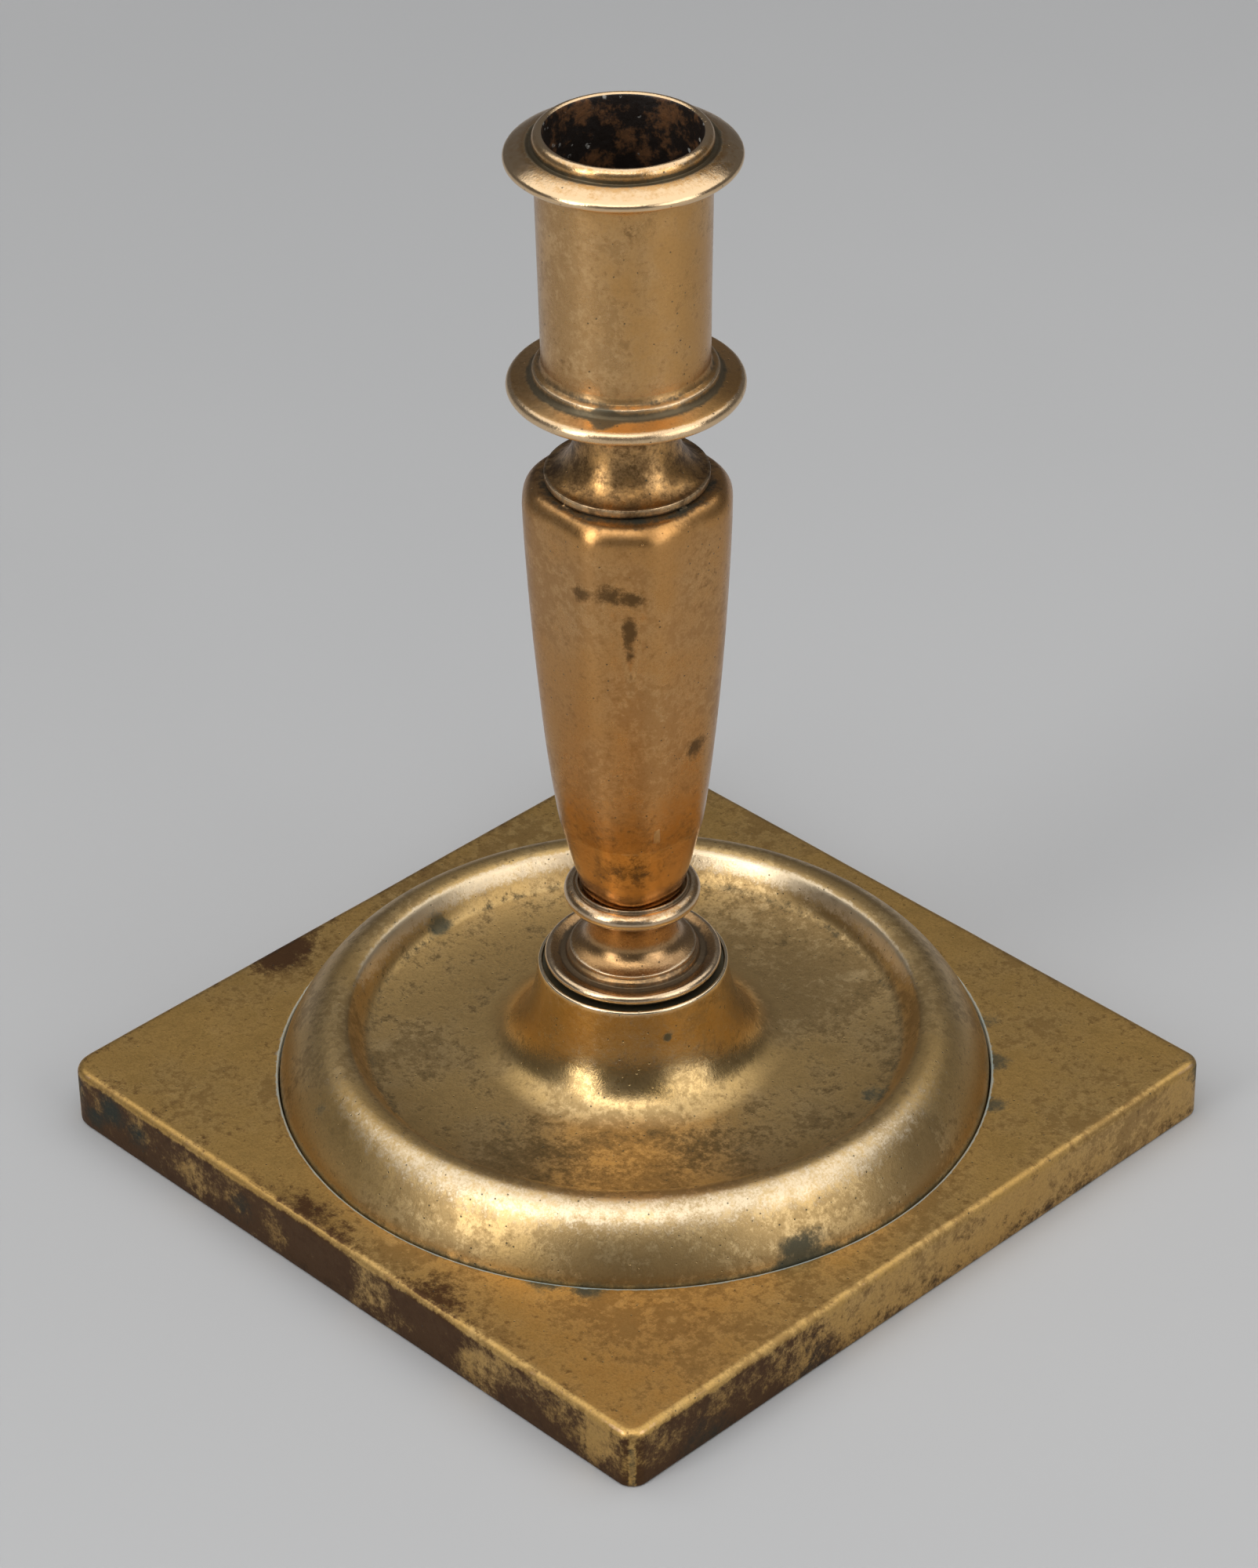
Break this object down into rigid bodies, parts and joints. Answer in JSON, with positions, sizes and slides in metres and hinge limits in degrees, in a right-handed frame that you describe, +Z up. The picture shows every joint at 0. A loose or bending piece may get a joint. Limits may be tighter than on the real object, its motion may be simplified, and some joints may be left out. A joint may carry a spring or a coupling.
{
  "type": "candlestick",
  "caption": "Cast and turned brass candlestick: square foot with a dished pan, faceted baluster stem and a flanged candle socket.",
  "frame": {"origin": "middle of the square foot on the plane it stands on", "axes": "+Z up the stem; X and Y square to the sides of the foot"},
  "size_m": [0.125, 0.125, 0.1705],
  "materials": {
    "foot_brass": "worn, olive-brown patina with bright edges",
    "pan_brass": "worn satin on the bead, brown mottled patina in the well",
    "spool_brass": "turned, pinkish brown, satin",
    "baluster_brass": "polished golden copper",
    "plug_brass": "filed flush with the baluster",
    "socket_brass": "satin polish, dark dirt in the corners",
    "washer_brass": "dull",
    "nut_brass": "dull, hand filed"
  },
  "bodies": {
    "foot": {"square_foot": "foot_brass", "dished_pan": "pan_brass"},
    "stem": {"stem_spool": "spool_brass", "faceted_baluster": "baluster_brass", "core_plug": "plug_brass", "candle_socket": "socket_brass", "clamp_washer": "washer_brass", "clamp_nut": "nut_brass"}
  },
  "joints": [
    {"name": "stem_turn", "type": "hinge", "parent": "foot", "child": "stem", "pos_m": [0, 0, 0.0297], "axis": [0, 0, 1], "continuous": true}
  ]
}
